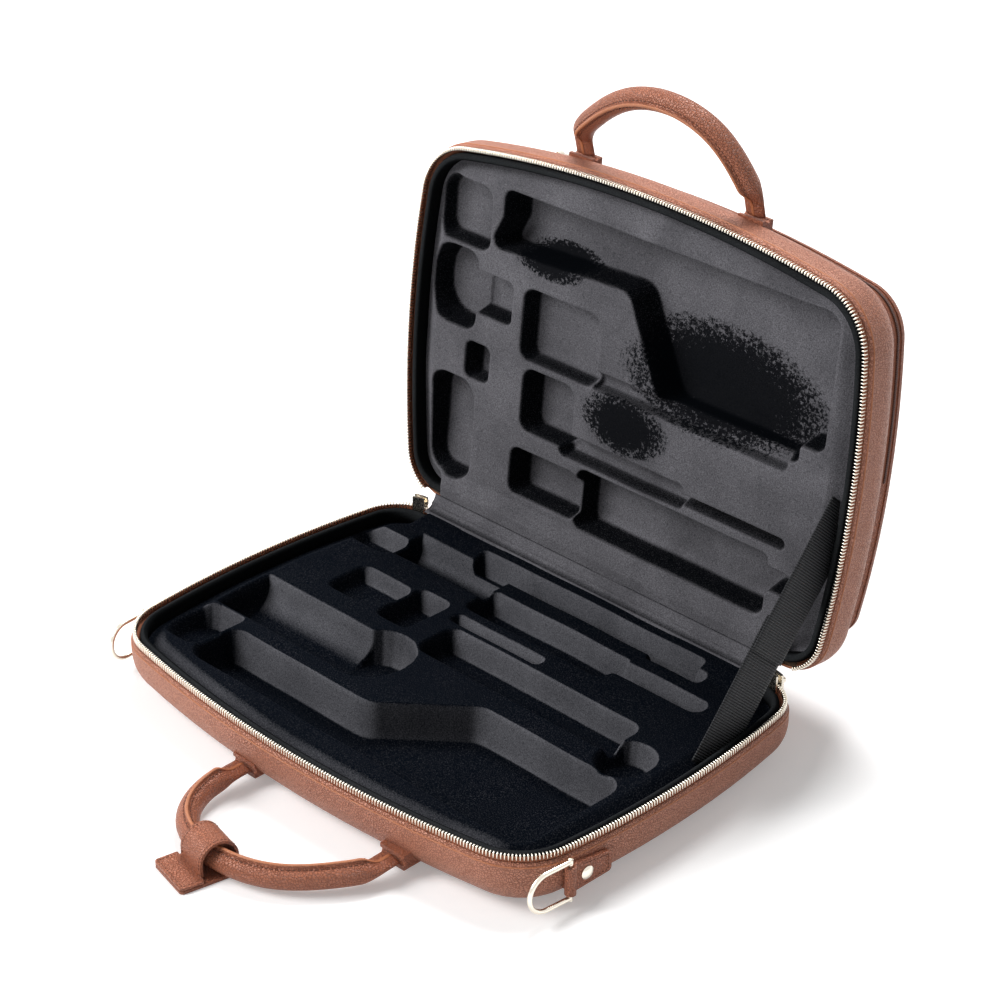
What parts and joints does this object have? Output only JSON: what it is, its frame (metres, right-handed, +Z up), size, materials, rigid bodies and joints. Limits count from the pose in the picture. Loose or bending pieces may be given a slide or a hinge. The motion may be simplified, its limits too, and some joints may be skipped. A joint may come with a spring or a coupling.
{
  "type": "double woodwind case",
  "caption": "Zipped leather-covered case for two woodwinds, standing open, with moulded plush recesses, rope-core handles, shoulder rings, a stay strap and a luggage tag.",
  "frame": {"origin": "centre of the base's underside, on the ground", "axes": "+X along the hinge to the side with the stay strap, +Y from the front handle to the hinge, +Z up"},
  "size_m": [0.4298, 0.5, 0.4124],
  "materials": {
    "cover_leather": "smooth, semi-matt",
    "edge_leather": "smooth, stitched",
    "board": "raw board",
    "plush": "short pile",
    "zip_tape": "twill",
    "zip_metal": "polished, pale",
    "zip_coil": "moulded coil",
    "ring_metal": "polished, pale",
    "webbing": "ribbed",
    "rope": "twisted",
    "clear_sleeve": "clear, glossy"
  },
  "bodies": {
    "base": {"base_cover": "cover_leather", "base_shell": "board", "base_binding": "plush", "base_liner": "plush", "base_zip_tape": "zip_tape", "base_zip_teeth": "zip_metal", "base_handle_seats": "edge_leather", "stay_strap": "webbing", "hinge_gusset": "cover_leather", "ring_tab_right": "edge_leather", "ring_rivet_right": "ring_metal", "ring_tab_left": "edge_leather", "ring_rivet_left": "ring_metal"},
    "lid": {"lid_cover": "cover_leather", "lid_shell": "board", "lid_binding": "plush", "lid_liner": "plush", "lid_zip_tape": "zip_tape", "lid_zip_teeth": "zip_metal", "lid_handle_seats": "edge_leather", "pocket_gusset": "edge_leather", "pocket_panel": "cover_leather", "pocket_zip_tape": "zip_tape", "pocket_zip_teeth": "zip_coil"},
    "base_handle": {"base_handle": "edge_leather", "base_handle_core": "rope"},
    "lid_handle": {"lid_handle": "edge_leather", "lid_handle_core": "rope"},
    "tag": {"tag_plate": "edge_leather", "tag_window": "clear_sleeve", "tag_band": "edge_leather"},
    "shoulder_ring_right": {"shoulder_ring_right": "ring_metal"},
    "shoulder_ring_left": {"shoulder_ring_left": "ring_metal"},
    "zip_slider_right": {"zip_slider_right": "zip_metal"},
    "zip_slider_left": {"zip_slider_left": "zip_metal"},
    "zip_pull_right": {"zip_pull_right": "zip_metal"},
    "zip_pull_left": {"zip_pull_left": "zip_metal"},
    "pocket_slider": {"pocket_slider": "zip_metal"},
    "pocket_pull": {"pocket_pull": "zip_metal"}
  },
  "joints": [
    {"name": "lid_hinge", "type": "hinge", "parent": "base", "child": "lid", "pos_m": [0, 0.1505, 0.0472], "axis": [1, 0, 0], "range_deg": [0, 96.3], "deforming": ["hinge_gusset", "stay_strap"]},
    {"name": "base_handle_turn", "type": "hinge", "parent": "base", "child": "base_handle", "pos_m": [0, -0.147, 0.013], "axis": [1, 0, 0], "range_deg": [-13, 0]},
    {"name": "lid_handle_turn", "type": "hinge", "parent": "lid", "child": "lid_handle", "pos_m": [0, 0.21714, 0.33915], "axis": [1, 0, 0], "range_deg": [-70, 0]},
    {"name": "tag_swing", "type": "hinge", "parent": "base_handle", "child": "tag", "pos_m": [0.014, -0.223, 0.0118], "axis": [0.9781, -0.2079, 0], "range_deg": [-90, 0]},
    {"name": "right_ring_swing", "type": "hinge", "parent": "base", "child": "shoulder_ring_right", "pos_m": [0.211, -0.09439, 0.0245], "axis": [0, 0, 1], "range_deg": [-8, 150]},
    {"name": "left_ring_swing", "type": "hinge", "parent": "base", "child": "shoulder_ring_left", "pos_m": [-0.211, -0.09439, 0.0245], "axis": [0, 0, 1], "range_deg": [-150, 8]},
    {"name": "right_slider_run", "type": "hinge", "parent": "base", "child": "zip_slider_right", "pos_m": [0.1683, 0.112, 0.0472], "axis": [0, 0, 1], "range_deg": [-58, 0]},
    {"name": "left_slider_run", "type": "hinge", "parent": "base", "child": "zip_slider_left", "pos_m": [-0.1683, 0.112, 0.0472], "axis": [0, 0, 1], "range_deg": [0, 58]},
    {"name": "right_pull_swing", "type": "hinge", "parent": "zip_slider_right", "child": "zip_pull_right", "pos_m": [0.17624, 0.14937, 0.0472], "axis": [-0.9781, 0.2079, 0], "range_deg": [-75, 0]},
    {"name": "left_pull_swing", "type": "hinge", "parent": "zip_slider_left", "child": "zip_pull_left", "pos_m": [-0.17624, 0.14937, 0.0472], "axis": [0.9781, 0.2079, 0], "range_deg": [0, 75]},
    {"name": "pocket_slider_run", "type": "hinge", "parent": "lid", "child": "pocket_slider", "pos_m": [0, 0.12884, -0.6292], "axis": [0, 0.994, -0.1097], "range_deg": [0, 14]},
    {"name": "pocket_pull_swing", "type": "hinge", "parent": "pocket_slider", "child": "pocket_pull", "pos_m": [-0.11814, 0.23383, 0.32175], "axis": [0, 0.994, -0.1097], "range_deg": [-75, 0]}
  ]
}
